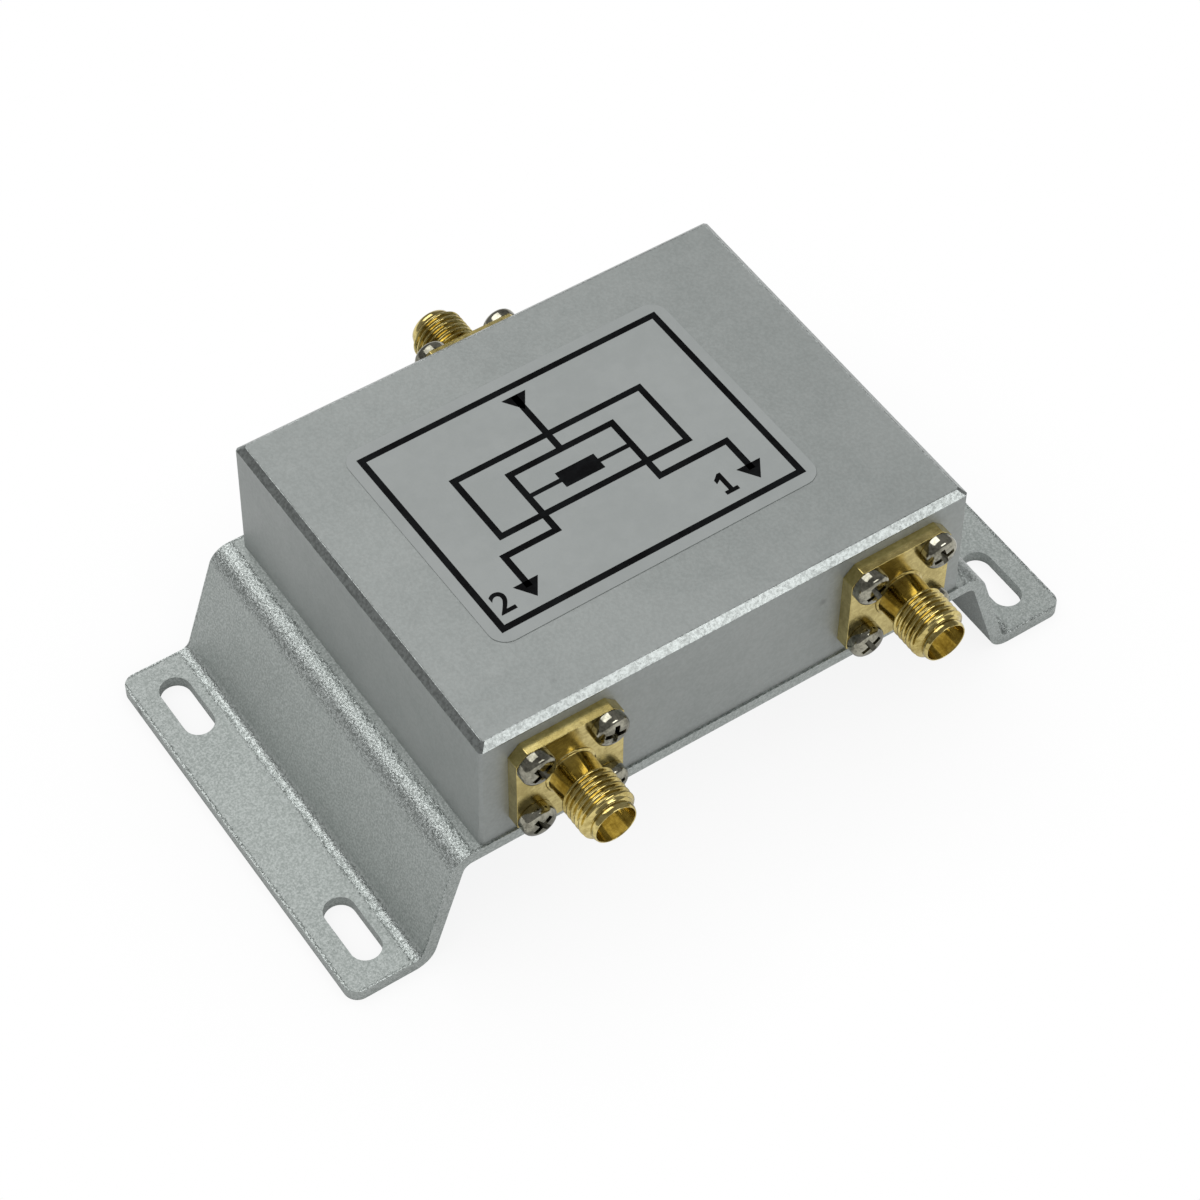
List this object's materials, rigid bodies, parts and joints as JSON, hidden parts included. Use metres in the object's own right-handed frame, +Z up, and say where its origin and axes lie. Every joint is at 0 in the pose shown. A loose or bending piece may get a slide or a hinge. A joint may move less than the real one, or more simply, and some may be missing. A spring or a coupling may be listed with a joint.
{
  "type": "rf power splitter",
  "caption": "Flat metal box on a bent sheet bracket, threaded coaxial jacks on its front and back walls; divides one radio-frequency signal between the front jacks.",
  "frame": {"origin": "centre of the whole footprint, on the plane under the feet", "axes": "+X from the left foot to the right foot seen from the side with the two output jacks, +Y towards the input jack, +Z up out of the housing's labelled face"},
  "size_m": [0.0922, 0.0662, 0.0313],
  "materials": {
    "housing": "fine blasted, satin, with bright broken edges",
    "bracket": "blasted sheet with a sparkling grain on the bends",
    "label": "satin silver-grey label stock with a black printed frame",
    "jack_body": "gold plated; satin flange, polished barrel",
    "jack_insulator": "white fluoropolymer",
    "jack_contact": "gold plated",
    "flange_screw": "bright nickel plated steel",
    "cover_screw": "nickel plated steel",
    "circuit_board": "green glass-epoxy laminate",
    "copper": "bare copper foil",
    "solder": "bright tin solder",
    "resistor": "black glazed chip"
  },
  "bodies": {
    "root": {"housing": "housing", "mounting_bracket": "bracket", "label": "label", "cover_screws": "cover_screw", "input_body": "jack_body", "input_insulator": "jack_insulator", "input_contact": "jack_contact", "input_flange_screws": "flange_screw", "input_solder": "solder", "output_1_body": "jack_body", "output_1_insulator": "jack_insulator", "output_1_contact": "jack_contact", "output_1_flange_screws": "flange_screw", "output_1_solder": "solder", "output_2_body": "jack_body", "output_2_insulator": "jack_insulator", "output_2_contact": "jack_contact", "output_2_flange_screws": "flange_screw", "output_2_solder": "solder", "circuit_board": "circuit_board", "ground_plane": "copper", "trace_pattern": "copper", "board_screws": "cover_screw", "isolation_resistor_1": "resistor", "isolation_resistor_2": "resistor", "isolation_resistor_3": "resistor"}
  },
  "joints": []
}
